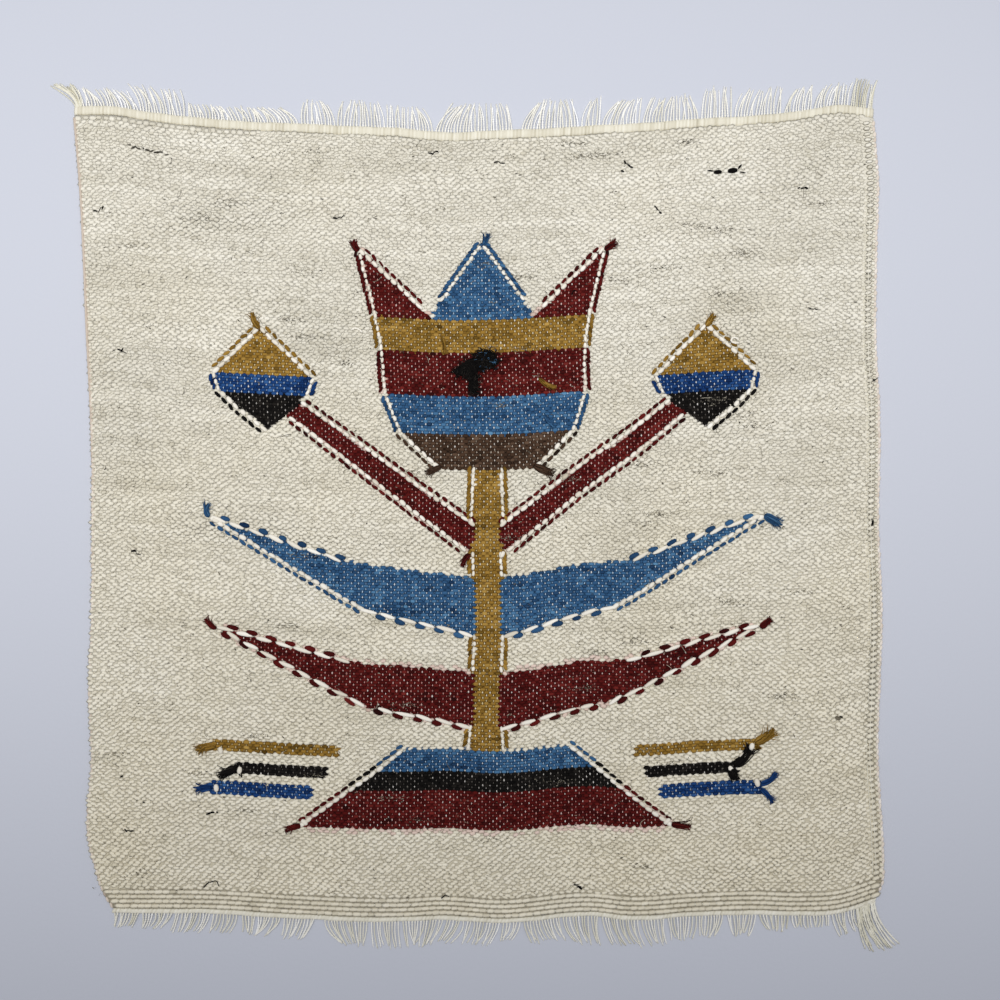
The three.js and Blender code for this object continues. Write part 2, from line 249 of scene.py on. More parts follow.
# Splits each path in two plies that turn round it.
def twoPly(paths, spread, pitch):
    along = unit(np.gradient(paths, axis=1))
    side = unit(np.cross(along, up))
    lift = np.cross(side, along)
    steps = np.linalg.norm(np.diff(paths, axis=1), axis=-1)
    run = np.concatenate([np.zeros((len(paths), 1)), np.cumsum(steps, 1)], 1)
    turn = (2 * np.pi * run / pitch)[..., None]
    offset = spread * (np.cos(turn) * side + np.sin(turn) * lift)
    return np.concatenate([paths + offset, paths - offset])


def makePiece(name, parts, materials):
    start, loops, sizes, slots = 0, [], [], []
    for points, groups, faceSlots, tones in parts:
        for group, groupSlots in zip(groups, faceSlots):
            loops.append((group + start).ravel())
            sizes.append(np.full(len(group), group.shape[1]))
            slots.append(groupSlots)
        start += len(points)
    loops, sizes, slots = (np.concatenate(rows).astype(np.int32) for rows in (loops, sizes, slots))
    mesh = bpy.data.meshes.new(name)
    points = np.concatenate([part[0] for part in parts]) * mm
    mesh.vertices.add(len(points))
    mesh.vertices.foreach_set("co", points.astype(np.float32).ravel())
    mesh.loops.add(len(loops))
    mesh.loops.foreach_set("vertex_index", loops)
    mesh.polygons.add(len(sizes))
    mesh.polygons.foreach_set("loop_start", (np.cumsum(sizes) - sizes).astype(np.int32))
    mesh.polygons.foreach_set("material_index", slots)
    mesh.polygons.foreach_set("use_smooth", np.ones(len(sizes), bool))
    for material in materials:
        mesh.materials.append(material)
    tones = np.concatenate([part[3] for part in parts]).astype(np.float32)
    mesh.attributes.new("tone", "FLOAT", "POINT").data.foreach_set("value", tones)
    mesh.update(calc_edges=True)
    mesh.validate()
    piece = addObject(name, mesh)
    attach(piece, "root")
    print(name, "has", int((sizes - 2).sum()), "triangles")
    return piece


# Shapes of the small yarn forms

# One weft float: a low closed boat with pointed ends and a ridge. Half length 1, half width 1, height 1.
floatShape = (
    np.array([[1, 0, 0], [0.5, 1, 0], [-0.5, 1, 0], [-1, 0, 0], [-0.5, -1, 0], [0.5, -1, 0],
              [0.3, 0, 1], [-0.3, 0, 1]], float),
    [np.array([[0, 1, 6], [2, 3, 7], [3, 4, 7], [5, 0, 6]]), np.array([[1, 2, 7, 6], [4, 5, 6, 7]]),
     np.array([[5, 4, 3, 2, 1, 0]])],
)


# A closed bead with round sides and drawn-in ends.
def beadOf(sides, rings):
    points = [[-1, 0, 0]]
    for ring in range(1, rings + 1):
        x = -math.cos(math.pi * ring / (rings + 1))
        radius = math.sin(math.pi * ring / (rings + 1)) ** 0.8
        for side in range(sides):
            angle = 2 * math.pi * side / sides
            points.append([x, radius * math.cos(angle), radius * math.sin(angle)])
    points.append([1, 0, 0])
    last = len(points) - 1
    tris = [[0, 1 + (side + 1) % sides, 1 + side] for side in range(sides)]
    tris += [[last, last - sides + side, last - sides + (side + 1) % sides] for side in range(sides)]
    quads = [[1 + ring * sides + side, 1 + ring * sides + (side + 1) % sides,
              1 + (ring + 1) * sides + (side + 1) % sides, 1 + (ring + 1) * sides + side]
             for ring in range(rings - 1) for side in range(sides)]
    return np.array(points, float), [np.array(tris), np.array(quads)]


beadShape = beadOf(7, 4)
smallBeadShape = beadOf(6, 3)
dotShape = (
    np.array([[1, 0, 0], [0, 1, 0], [-1, 0, 0], [0, -1, 0], [0, 0, 1], [0, 0, -1]], float),
    [np.array([[0, 1, 4], [1, 2, 4], [2, 3, 4], [3, 0, 4], [1, 0, 5], [2, 1, 5], [3, 2, 5], [0, 3, 5]])],
)


# Materials

def linearColour(hexColour):
    values = [int(hexColour[i:i + 2], 16) / 255 for i in (1, 3, 5)]
    return [v / 12.92 if v <= 0.04045 else ((v + 0.055) / 1.055) ** 2.4 for v in values] + [1.0]


def addNode(tree, kind, settings=None, links=None):
    node = tree.nodes.new(kind)
    for name, value in (settings or {}).items():
        if isinstance(name, int) or name in node.inputs:
            node.inputs[name].default_value = value
        else:
            setattr(node, name, value)
    for name, source in (links or {}).items():
        tree.links.new(source, node.inputs[name])
    return node


def newMaterial(name):
    material = bpy.data.materials.new(name)
    material.use_nodes = True
    material.node_tree.nodes.clear()
    return material, material.node_tree


# Yarn of short matt fibres. The tone of each float or strand picks its place in the ramp, and the fibres,
# drawn 0.4 mm wide and 3 mm long so that they show, break it up and roughen it. Yellowing is how much the
# yarn has aged towards the lower heading, in soft patches.
def yarnMaterial(name, stops, roughness, ior, sheen, fibre, hairiness, mottle, yellowing=0.0):
    material, tree = newMaterial(name)
    place = addNode(tree, "ShaderNodeTexCoord").outputs["Object"]
    stretch = [1000 / size for size in fibre]
    fibres = addNode(tree, "ShaderNodeMapping", {"Scale": stretch}, {"Vector": place})
    hair = addNode(tree, "ShaderNodeTexNoise", {"Scale": 1.0, "Detail": 3.0, "Roughness": 0.6},
                   {"Vector": fibres.outputs["Vector"]})
    tone = addNode(tree, "ShaderNodeAttribute", {"attribute_name": "tone"})
    spread = addNode(tree, "ShaderNodeMath", {"operation": "MULTIPLY_ADD", 1: mottle, 2: -0.5 * mottle},
                     {0: hair.outputs["Fac"]})
    total = addNode(tree, "ShaderNodeMath", {"operation": "ADD"},
                    {0: tone.outputs["Fac"], 1: spread.outputs["Value"]})
    ramp = addNode(tree, "ShaderNodeValToRGB", None, {"Fac": total.outputs["Value"]})
    elements = ramp.color_ramp.elements
    while len(elements) < len(stops):
        elements.new(0.5)
    for element, (at, colour) in zip(elements, stops):
        element.position = at
        element.color = linearColour(colour)
    colour = ramp.outputs["Color"]
    if yellowing:
        height = addNode(tree, "ShaderNodeSeparateXYZ", None, {"Vector": place}).outputs["Y"]
        span = {"From Min": 0.15, "From Max": -0.25, "To Min": -0.7 * yellowing, "To Max": 0.5 * yellowing}
        ageing = addNode(tree, "ShaderNodeMapRange", span, {"Value": height})
        patches = addNode(tree, "ShaderNodeTexNoise", {"Scale": 13.0, "Detail": 2.0}, {"Vector": place})
        amount = addNode(tree, "ShaderNodeMath",
                         {"operation": "MULTIPLY_ADD", 1: 1.4 * yellowing, "use_clamp": True},
                         {0: patches.outputs["Fac"], 2: ageing.outputs["Result"]})
        aged = addNode(tree, "ShaderNodeMix",
                       {"data_type": "RGBA", "blend_type": "MULTIPLY", 7: linearColour("#fff8e4")},
                       {0: amount.outputs["Value"], 6: colour})
        colour = aged.outputs[2]
    bump = addNode(tree, "ShaderNodeBump", {"Strength": hairiness, "Distance": 0.00015},
                   {"Height": hair.outputs["Fac"]})
    shader = addNode(tree, "ShaderNodeBsdfPrincipled",
                     {"Roughness": roughness, "IOR": ior, "Sheen Weight": sheen, "Sheen Roughness": 0.6,
                      "Specular IOR Level": 0.12},
                     {"Base Color": colour, "Normal": bump.outputs["Normal"]})
    addNode(tree, "ShaderNodeOutputMaterial", None, {"Surface": shader.outputs["BSDF"]})
    return material


# Wool is dull and hairy, cotton smoother. The fibres run along the weft, by their length and width.
woolSurface = {"roughness": 0.95, "ior": 1.55, "hairiness": 0.5}
cottonSurface = {"roughness": 0.8, "ior": 1.53, "sheen": 0.1, "hairiness": 0.35, "mottle": 0.2,
                 "fibre": (0.5, 1.5, 0.5)}
weftFibre = (3.0, 0.4, 0.4)

# Undyed hand-spun wool, woven: matt and soft, cream with grey and brown fibres that streak along the weft.
undyedWool = yarnMaterial(
    "undyedHandSpunWool",
    [(0.0, "#2b2620"), (0.22, "#938c7b"), (0.42, "#cbc5b3"), (0.65, "#e9e4d5"), (1.0, "#f9f6ec")],
    sheen=0.05, fibre=weftFibre, mottle=0.34, yellowing=0.38, **woolSurface)

# The same wool beside the maroon, where its dye has bled: faintly pink.
stainedWool = yarnMaterial(
    "dyeStainedWool",
    [(0.0, "#4a322b"), (0.3, "#b39a8b"), (0.65, "#e0cabc"), (1.0, "#f0e2d6")],
    sheen=0.05, fibre=weftFibre, mottle=0.26, **woolSurface)

# The same wool, vat dyed: a deep uneven colour. It stains the white warp.
dyes = {
    "maroon": {"deep": "#220403", "mid": "#520f0d", "pale": "#742722", "warp": "#cf958c"},
    "steelBlue": {"deep": "#0f2744", "mid": "#335a80", "pale": "#5d8bae", "warp": "#b4cddf"},
    "walnut": {"deep": "#1a100a", "mid": "#473325", "pale": "#6b5544", "warp": "#bfb09d"},
    "mustard": {"deep": "#4a350a", "mid": "#94712e", "pale": "#bb9850", "warp": "#e2d3a4"},
    "black": {"deep": "#040303", "mid": "#120f0d", "pale": "#2a2622", "warp": "#6d675f"},
    "royalBlue": {"deep": "#061331", "mid": "#153a6f", "pale": "#3d69a0", "warp": "#a9c0d8"},
}
dyeNames = list(dyes)
dyedWool = [
    yarnMaterial(name + "DyedWool", [(0.0, dye["deep"]), (0.5, dye["mid"]), (1.0, dye["pale"])],
                 sheen=0.0, fibre=weftFibre, mottle=0.4, **woolSurface)
    for name, dye in dyes.items()
]
stainedCotton = [
    yarnMaterial(name + "StainedCotton", [(0.0, dye["mid"]), (0.6, dye["warp"]), (1.0, "#f4efe6")],
                 roughness=0.85, ior=1.53, sheen=0.05, fibre=(0.4, 1.5, 0.4), hairiness=0.3, mottle=0.2)
    for name, dye in dyes.items()
]

# Unbleached two-ply cotton: smoother and whiter than the wool, with a dull shine on each ply.
cotton = yarnMaterial(
    "unbleachedCotton",
    [(0.0, "#8a816d"), (0.35, "#cfc8b2"), (0.6, "#e6e1cf"), (1.0, "#f8f5ea")],
    **cottonSurface)
# The warp ends: the same cotton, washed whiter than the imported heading.
whiteCotton = yarnMaterial(
    "washedWarpCotton",
    [(0.0, "#a9a286"), (0.4, "#e2decb"), (0.7, "#f6f3ea"), (1.0, "#ffffff")],
    **cottonSurface)
# The paler wool that turns round the selvage warps.
paleSelvage = yarnMaterial(
    "paleSelvageWool",
    [(0.0, "#8f8072"), (0.4, "#c9baa9"), (0.7, "#e2d6c8"), (1.0, "#f2ebe2")],
    sheen=0.05, fibre=(0.5, 1.5, 0.5), mottle=0.3, **woolSurface)
# The thick white cotton yarn of the outlines, duller than the headings.
whiteYarn = yarnMaterial(
    "whiteOutlineYarn",
    [(0.0, "#bdb39c"), (0.5, "#e8e1d1"), (1.0, "#fbf7ec")],
    roughness=0.85, ior=1.53, sheen=0.1, fibre=(2.0, 0.4, 0.4), hairiness=0.35, mottle=0.2)
print("materials made")


# The woven design

# A generic flowering plant, the same on both sides of its stem. Places are in the weave, from the middle of
# the design, for the right half; each row is a colour and a closed outline.
design = {"midX": 1.0, "midY": -5.0}
colourAreas = [
    ("maroon", [(0, -172), (108, -172), (80, -150), (0, -150)]),
    ("black", [(0, -150), (80, -150), (64, -138), (0, -138)]),
    ("steelBlue", [(0, -138), (64, -138), (48, -125), (0, -125)]),
    ("mustard", [(0, -125), (10, -125), (8, -60), (9, 0), (8, 42), (0, 42)]),
    ("maroon", [(8, -112), (70, -100), (158, -58), (84, -74), (8, -80)]),
    ("steelBlue", [(8, -58), (72, -44), (162, 6), (84, -16), (8, -24)]),
    ("maroon", [(8, -4), (12, -8), (116, 68), (110, 76), (8, 7)]),
    ("black", [(112, 72), (128, 58), (144, 72)]),
    ("black", [(104, 80), (114, 70), (144, 70), (155, 80)]),
    ("royalBlue", [(104, 80), (155, 80), (158, 90), (100, 90)]),
    ("mustard", [(100, 90), (158, 90), (130, 118)]),
    ("walnut", [(0, 40), (28, 40), (50, 60), (0, 60)]),
    ("steelBlue", [(0, 60), (50, 60), (58, 82), (0, 82)]),
    ("maroon", [(0, 82), (58, 82), (59, 108), (0, 108)]),
    ("mustard", [(0, 108), (59, 108), (62, 128), (0, 128)]),
    ("maroon", [(30, 128), (62, 128), (71, 166), (36, 134)]),
    ("steelBlue", [(0, 128), (30, 128), (24, 138), (0, 172)]),
    ("mustard", [(86, -131), (160, -131), (160, -124), (86, -124)]),
    ("black", [(94, -143), (148, -143), (148, -136), (94, -136)]),
    ("royalBlue", [(102, -155), (162, -155), (162, -148), (102, -148)]),
]

# Where the outline yarn runs: the colour of its outer rope, and points with the outside on the right.
outlines = [
    ("maroon", [(108, -172), (80, -150)]), ("black", [(80, -150), (64, -138)]),
    ("steelBlue", [(64, -138), (48, -125)]),
    ("mustard", [(10, -125), (9, -112)]), ("mustard", [(8, -79), (8, -58)]),
    ("mustard", [(8, -23), (8, -8)]), ("mustard", [(9, 8), (8, 40)]),
    ("maroon", [(8, -112), (70, -100), (158, -58)]), ("maroon", [(158, -58), (84, -74)]),
    ("steelBlue", [(8, -58), (72, -44), (162, 6)]), ("steelBlue", [(162, 6), (84, -16)]),
    ("maroon", [(12, -8), (116, 68)]), ("maroon", [(108, 76), (8, 7)]),
    ("black", [(128, 58), (144, 70), (155, 80)]), ("royalBlue", [(155, 80), (158, 90)]),
    ("mustard", [(158, 90), (130, 118), (100, 90)]), ("royalBlue", [(100, 90), (104, 80)]),
    ("walnut", [(28, 40), (50, 60)]), ("steelBlue", [(50, 60), (58, 82)]), ("maroon", [(58, 82), (59, 108)]),
    ("mustard", [(59, 108), (62, 128)]), ("maroon", [(62, 128), (71, 166), (36, 134)]),
    ("steelBlue", [(24, 138), (0, 172)]),
]


clothWidth, clothLength = weave["warps"] * weave["warpPitch"], weave["picks"] * weave["pickPitch"]


# A place in the design as shares of the warps and of the picks, and back.
def shareOf(u, v):
    return 0.5 + (u + design["midX"]) / clothWidth, 0.5 + (v + design["midY"]) / clothLength


def designOf(acrossShare, alongShare):
    x, y = (acrossShare - 0.5) * clothWidth, (alongShare - 0.5) * clothLength
    return x - design["midX"], y - design["midY"]


# A place in the design to its place on the floor.
def spotOf(u, v):
    return placeOf(*shareOf(u, v))


def insideOf(polygon, u, v):
    inside = np.zeros(u.shape, bool)
    for (x0, y0), (x1, y1) in zip(polygon, polygon[1:] + polygon[:1]):
        if y0 != y1:
            crosses = (y0 > v) != (y1 > v)
            inside ^= crosses & (u < x0 + (v - y0) * (x1 - x0) / (y1 - y0))
    return inside


# The dye at places of the weave, counted from 1, with 0 for undyed.
def dyeAt(acrossShare, alongShare):
    u, v = designOf(acrossShare, alongShare)
    found = np.zeros(u.shape, int)
    for name, polygon in colourAreas:
        found[insideOf(polygon, np.abs(u), v)] = 1 + dyeNames.index(name)
    return found


# The cloth's body

# The tone of the body between the floats, painted darker than the floats as shade in the gaps between them:
# darker low down, and darkest where wide gaps show it, under the loose loops and between the heavy picks.
ground = {"upper": 0.53, "lower": 0.41,
          "underLoops": 0.36, "loopsReach": 6.4, "underPicks": 0.25, "picksReach": 13.0}
body = {"underRelief": 0.35, "underTone": 0.45, "underSpread": 0.3, "fineFromWarp": 212, "fineToPick": 10}


def gapShadeTone(x, y):
    plain = ground["upper"] + (ground["lower"] - ground["upper"]) * downwardAt(y)
    loops = (topLineAt(x) - y < ground["loopsReach"]) & (x < looseLoops["right"])
    heavy = y - bottomLineAt(x) < ground["picksReach"]
    return np.where(heavy, ground["underPicks"], np.where(loops, ground["underLoops"], plain))


# Its underside is at thread scale, with a low relief of floats; the upper side carries the yarn pieces.
def clothBody():
    warps, picks = weave["warps"], weave["picks"]
    across, along = np.meshgrid(np.arange(warps + 1), np.arange(picks + 1), indexing="ij")
    x, y = placeOf(across / warps, along / picks)
    inner = (across > 0) & (across < warps) & (along > 0) & (along < picks)
    relief = np.where(inner & ((across + along) % 2 == 1), body["underRelief"], 0.0)
    under = np.stack([x, y, liftAt(x, y) + relief], -1)
    columns = np.r_[0:body["fineFromWarp"]:2, body["fineFromWarp"]:warps + 1]
    rows = np.r_[0:body["fineToPick"], body["fineToPick"]:picks:2, picks]
    topX, topY = x[np.ix_(columns, rows)], y[np.ix_(columns, rows)]
    upper = np.stack([topX, topY, faceAt(topX, topY) - cloth["yarnSink"]], -1)
    lowIndex = np.arange(under[..., 0].size).reshape(under.shape[:2])
    highIndex = lowIndex.size + np.arange(upper[..., 0].size).reshape(upper.shape[:2])
    low = np.stack([lowIndex[:-1, :-1], lowIndex[:-1, 1:], lowIndex[1:, 1:], lowIndex[1:, :-1]], -1)
    high = np.stack([highIndex[:-1, :-1], highIndex[1:, :-1], highIndex[1:, 1:], highIndex[:-1, 1:]], -1)
    lowSlots = dyeAt((across[:-1, :-1] + 0.5) / warps, (along[:-1, :-1] + 0.5) / picks).ravel()
    midColumns, midRows = (columns[:-1] + columns[1:]) / 2 / warps, (rows[:-1] + rows[1:]) / 2 / picks
    highSlots = dyeAt(*np.meshgrid(midColumns, midRows, indexing="ij")).ravel()
    groups, slots = [low.reshape(-1, 4), high.reshape(-1, 4)], [lowSlots, highSlots]
    borders = [
        (lowIndex[:, 0], highIndex[:, 0], columns, 1), (lowIndex[:, -1], highIndex[:, -1], columns, -1),
        (lowIndex[0], highIndex[0], rows, -1), (lowIndex[-1], highIndex[-1], rows, 1),
    ]
    for lowEdge, highEdge, kept, turn in borders:
        for i in range(len(kept) - 1):
            face = [*lowEdge[kept[i]:kept[i + 1] + 1], highEdge[i + 1], highEdge[i]]
            groups.append(np.array([face[::turn]]))
            slots.append(np.zeros(1, int))
    points = np.concatenate([under.reshape(-1, 3), upper.reshape(-1, 3)])
    spread = np.random.default_rng(5).random(len(points)) * body["underSpread"]
    # The upper face, seen only in the gaps, carries the painted gap shade.
    tones = np.r_[body["underTone"] + spread[:lowIndex.size], gapShadeTone(topX, topY).ravel()]
    return points, groups, slots, tones


hanging = makePiece("woven_cloth", [clothBody()], [undyedWool, *dyedWool])
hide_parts("cloth")


# The weft floats

yarn = {
    "halfLength": 2.3, "halfWidth": 1.42, "height": 0.62, "uneven": 0.09,
    "lean": 1.5, "leftLean": 3, "sway": 4, "looseLean": 13, "wander": 0.32,
    "dyedLean": 1, "dyedLooseLean": 3, "dyedWander": 0.08,
    "tone": 0.61, "lowerPaintedLight": 0.1, "streakTone": 0.035, "patchTone": 0.025, "fleckTone": 0.12,
    "dyedTone": 0.5, "dyedStreakTone": 0.06, "dyedUnevenTone": 0.14,
}
bleed = {"reach": 2.6, "share": 0.7}  # how far the maroon stains its neighbours, in warps or picks
floatSink = cloth["yarnSink"] + 0.1  # the floats start a little inside the body


# The upper edge of the heavy picks.
def boldPicksTop(x):
    return bottomLineAt(x) + boldPicks["count"] * boldPicks["pitch"] + 1.7


# Smooth random rows: one value every so many millimetres along each pick, drifting from pick to pick.
def heather(rng, spacing, drift):
    width = 480  # a little more than the cloth
    cells = rng.normal(size=(weave["picks"], int(width / spacing) + 3))
    for row in range(1, weave["picks"]):
        cells[row] = drift * cells[row - 1] + math.sqrt(1 - drift * drift) * cells[row]

    def valueAt(row, x):
        at = (x + width / 2) / spacing + 0.5
        i = np.clip(np.floor(at).astype(int), 0, cells.shape[1] - 2)
        t = np.clip(at - i, 0, 1)
        t = t * t * (3 - 2 * t)
        return cells[row, i] * (1 - t) + cells[row, i + 1] * t

    return valueAt


# Every second crossing of the weave, from the first (0: the weft is on top) or the next (1: the warp is).
def crossings(first):
    warps, picks = weave["warps"], weave["picks"]
    warp, pick = np.meshgrid(np.arange(warps), np.arange(picks), indexing="ij")
    chosen = (warp + pick) % 2 == first
    warp, pick = warp[chosen], pick[chosen]
    return warp, pick, (warp + 0.5) / warps, (pick + 0.5) / picks


def weftFloats():
    rng = np.random.default_rng(11)
    warp, pick, across, along = crossings(0)
    x, y = placeOf(across, along)
    underTop = topLineAt(x) - cloth["topHeading"] / 2 - cloth["gap"] - y
    loops = (underTop < looseLoops["reach"]) & (x < looseLoops["right"])
    plain = (y > boldPicksTop(x)) & ~loops & (warp < weave["warps"] - selvageColumns["warps"])
    warp, pick, across, along, x, y = (values[plain] for values in (warp, pick, across, along, x, y))
    nextX, nextY = placeOf(across + 0.004, along)
    sway = heather(rng, 40, 0.95)(pick, x)
    dye = dyeAt(across, along)
    leftward = np.clip((60 - x) / 200, 0, 1)
    plainLean = yarn["lean"] + leftward * yarn["leftLean"] + yarn["sway"] * sway
    lean = np.where(dye > 0, yarn["dyedLean"], plainLean)
    loose = np.where(dye > 0, yarn["dyedLooseLean"], yarn["looseLean"])
    lean = np.radians(lean + rng.normal(0, 1, x.size) * loose)
    angle = np.arctan2(nextY - y, nextX - x) + lean
    jitter = rng.normal(0, 1, (2, x.size)) * np.where(dye > 0, yarn["dyedWander"], yarn["wander"])
    x, y = x + jitter[0], y + jitter[1] * 0.7
    places = onFace(x, y, -floatSink)
    directions = levelAt(angle)
    thick = 1 + 0.08 * heather(rng, 18, 0.35)(pick, x)
    downward = downwardAt(y)
    sizes = np.stack([
        yarn["halfLength"] * rng.normal(1, yarn["uneven"], x.size),
        yarn["halfWidth"] * thick * rng.normal(1, yarn["uneven"], x.size) * (1 - 0.07 * downward),
        yarn["height"] * thick * rng.normal(0.96, 0.1, x.size) * (1 + 0.25 * downward),
    ], -1)
    maroon = 1 + dyeNames.index("maroon")
    reach = bleed["reach"]
    near = sum(dyeAt(across + du / clothWidth, along + dv / clothLength) == maroon
               for du, dv in ((reach, 0), (-reach, 0), (0, reach), (0, -reach)))
    dye = np.where((dye == 0) & (near > 0) & (rng.random(x.size) < bleed["share"]), -1, dye)
    streak = heather(rng, 34, 0.55)(pick, x)
    patch = heather(rng, 60, 0.93)(pick, x)
    fleck = heather(rng, 5, 0.0)(pick, x)
    # Floats are painted lighter lower down: painted light, set against the darker painted gap shade there.
    tones = yarn["tone"] + yarn["lowerPaintedLight"] * downward + yarn["streakTone"] * streak
    tones += yarn["patchTone"] * patch - 0.05 * np.clip(np.abs(rng.normal(size=x.size)) ** 1.5, 0, 2.4)
    tones -= yarn["fleckTone"] * np.clip(fleck - 1.7, 0, 1.4)
    dyedTones = yarn["dyedTone"] + yarn["dyedStreakTone"] * streak
    dyedTones = dyedTones + yarn["dyedUnevenTone"] * rng.normal(size=x.size)
    tones = np.clip(np.where(dye > 0, dyedTones, tones), 0.02, 0.98)
    return places, directions, sizes, dye, tones


places, directions, sizes, dye, tones = weftFloats()
for name, chosen in (
    ("undyed_weft_upper", (dye < 1) & (places[:, 1] >= 0)),
    ("undyed_weft_lower", (dye < 1) & (places[:, 1] < 0)),
):
    part = stamps(floatShape, places[chosen], directions[chosen], sizes[chosen], -dye[chosen], tones[chosen])
    makePiece(name, [part], [undyedWool, stainedWool])
dyed = dye > 0
part = stamps(floatShape, places[dyed], directions[dyed], sizes[dyed], dye[dyed] - 1, tones[dyed])
makePiece("dyed_weft", [part], dyedWool)


# Heavier picks: four rows above the lower heading, with the warp showing between their floats.
def heavyPicks():
    rng = np.random.default_rng(31)
    parts = []
    for row in range(boldPicks["count"]):
        x = np.arange(-240, 245, 2 * weave["warpPitch"]) + weave["warpPitch"] * (row % 2)
        x = x + rng.normal(0, 0.2, x.size)
        y = bottomLineAt(x) + cloth["bottomHeading"] / 2 + cloth["gap"] + boldPicks["pitch"] * (row + 0.5)
        inside = (x > leftAt(y) + 2.8) & (x < rightAt(y) - 3.2)
        x, y = x[inside], y[inside]
        place = onFace(x, y, -floatSink)
        slope = np.gradient(y, x) + rng.normal(0.05, 0.05, x.size)
        direction = np.stack([np.ones_like(x), slope, 0 * x], -1)
        size = np.array(boldPicks["float"]) * rng.normal(1, 0.06, (x.size, 3))
        parts.append(stamps(floatShape, place, direction, size, 0, 0.62 + 0.05 * rng.normal(size=x.size)))
        place = place[1:] - np.diff(place, axis=0) / 2 + (0, 0.35, 0.5)
        shown = rng.random(len(place)) < boldPicks["dotShare"]
        size = np.array(boldPicks["dot"]) * rng.normal(1, 0.2, (shown.sum(), 3))
        parts.append(stamps(dotShape, place[shown], direction[1:][shown], size, 1, 0.75))
    return parts + topLoops(rng)


# Loose loops of weft under the left of the upper heading, with a warp end between some of them.
def topLoops(rng):
    x = np.arange(looseLoops["left"], looseLoops["right"], looseLoops["pitch"])
    x = x + rng.normal(0, 0.25, x.size)
    middle = cloth["topHeading"] / 2 + cloth["gap"] + looseLoops["reach"] / 2
    y = topLineAt(x) - middle + rng.normal(0, 0.15, x.size)
    direction = np.stack([np.ones_like(x), rng.normal(-0.05, 0.1, x.size), 0 * x], -1)
    size = np.array(looseLoops["float"]) * rng.normal(1, 0.12, (x.size, 3))
    tones = 0.55 + 0.05 * rng.normal(size=x.size)
    loops = stamps(floatShape, onFace(x, y, -floatSink), direction, size, 0, tones)
    x = x[rng.random(x.size) < looseLoops["endShare"]] + 2
    y = topLineAt(x) - middle
    upright = np.stack([0 * x, np.ones_like(x), 0 * x], -1)
    size = np.array(looseLoops["end"]) * rng.normal(1, 0.1, (x.size, 3))
    return [loops, stamps(dotShape, onFace(x, y, -0.35), upright, size, 1, 0.7)]


makePiece("heavy_picks", heavyPicks(), [undyedWool, cotton])


# The white warp between the dyed floats

dot = {"share": 0.86, "size": (0.8, 0.42, 0.46), "sink": 0.36}


def warpDots():
    rng = np.random.default_rng(7)
    _, _, across, along = crossings(1)
    dye = dyeAt(across, along)
    shown = (dye > 0) & (rng.random(dye.size) < dot["share"])
    across, along, dye = across[shown], along[shown], dye[shown]
    x, y = placeOf(across, along)
    x = x + rng.normal(0, 0.06, x.size)
    place = onFace(x, y, rng.normal(0, 0.07, x.size) - dot["sink"])
    upright = np.stack([rng.normal(0, 0.08, x.size), np.ones_like(x), 0 * x], -1)
    size = np.array(dot["size"]) * rng.normal(1, 0.14, (x.size, 1)) * rng.normal(1, 0.06, (x.size, 3))
    tone = np.clip(rng.normal(0.55, 0.2, x.size), 0.05, 0.95)
    return stamps(dotShape, place, upright, size, dye - 1, tone)


makePiece("warp_dots", [warpDots()], stainedCotton)


# The outline yarn

# Each style is for an edge up to its slope in degrees: white beads, then the outer rope. Half length, half
# width, spacing, and how far outside the edge.
outlineStyles = [
    {"upTo": 27, "bead": (5.3, 1.3, 11.6, 0.2), "rope": (3.3, 1.6, 11.6, 1.9), "shift": 5.8, "tilt": 4},
    {"upTo": 52, "bead": (2.3, 1.3, 4.9, 0.2), "rope": (2.3, 1.05, 5.0, 2.7), "shift": 2.0, "tilt": 8},
    {"upTo": 91, "bead": (1.65, 1.0, 3.7, 0.2), "rope": (2.1, 1.05, 2.6, 2.4), "shift": 1.0, "tilt": 26},
]


def alongLine(points, spacing, shift):
    points = np.array(points, float)
    lengths = np.linalg.norm(np.diff(points, axis=0), axis=1)
    run = np.r_[0, np.cumsum(lengths)]
    at = np.arange(shift, run[-1], spacing)
    u, v = np.interp(at, run, points[:, 0]), np.interp(at, run, points[:, 1])
    i = np.clip(np.searchsorted(run, at, side="right") - 1, 0, len(lengths) - 1)
    step = np.diff(points, axis=0)[i] / lengths[i, None]
    return u, v, step


def outlineYarn():
    rng = np.random.default_rng(41)
    parts = []
    for colour, points in outlines:
        for start, end in zip(points[:-1], points[1:]):
            slope = abs(math.degrees(math.atan2(end[1] - start[1], end[0] - start[0])))
            slope = min(slope, 180 - slope)
            style = next(one for one in outlineStyles if slope <= one["upTo"])
            for kind, slot in (("bead", len(dyeNames)), ("rope", dyeNames.index(colour))):
                half, width, spacing, outside = style[kind]
                shift = half + (style["shift"] if kind == "rope" else 0)
                u, v, step = alongLine([start, end], spacing, shift)
                if not u.size:
                    continue
                u, v = u + step[:, 1] * outside, v - step[:, 0] * outside
                for mirror in (1, -1):
                    x, y = spotOf(u * mirror, v)
                    angle = np.arctan2(step[:, 1], step[:, 0] * mirror)
                    tilt = style["tilt"] if kind == "rope" else 6
                    angle = angle + np.radians(tilt * mirror + rng.normal(0, 5, x.size))
                    z = faceAt(x, y) + (0.1 if kind == "bead" else 0.0)
                    place = np.stack([x + rng.normal(0, 0.15, x.size), y, z], -1)
                    direction = levelAt(angle)
                    size = np.array([half, width, 0.85 * width]) * rng.normal(1, 0.09, (x.size, 3))
                    tone = np.clip(rng.normal(0.6 if kind == "bead" else 0.33, 0.14, x.size), 0, 1)
                    parts.append(stamps(beadShape, place, direction, size, slot, tone))
    return parts


makePiece("outline_yarn", outlineYarn(), [*dyedWool, whiteYarn])


# Selvages

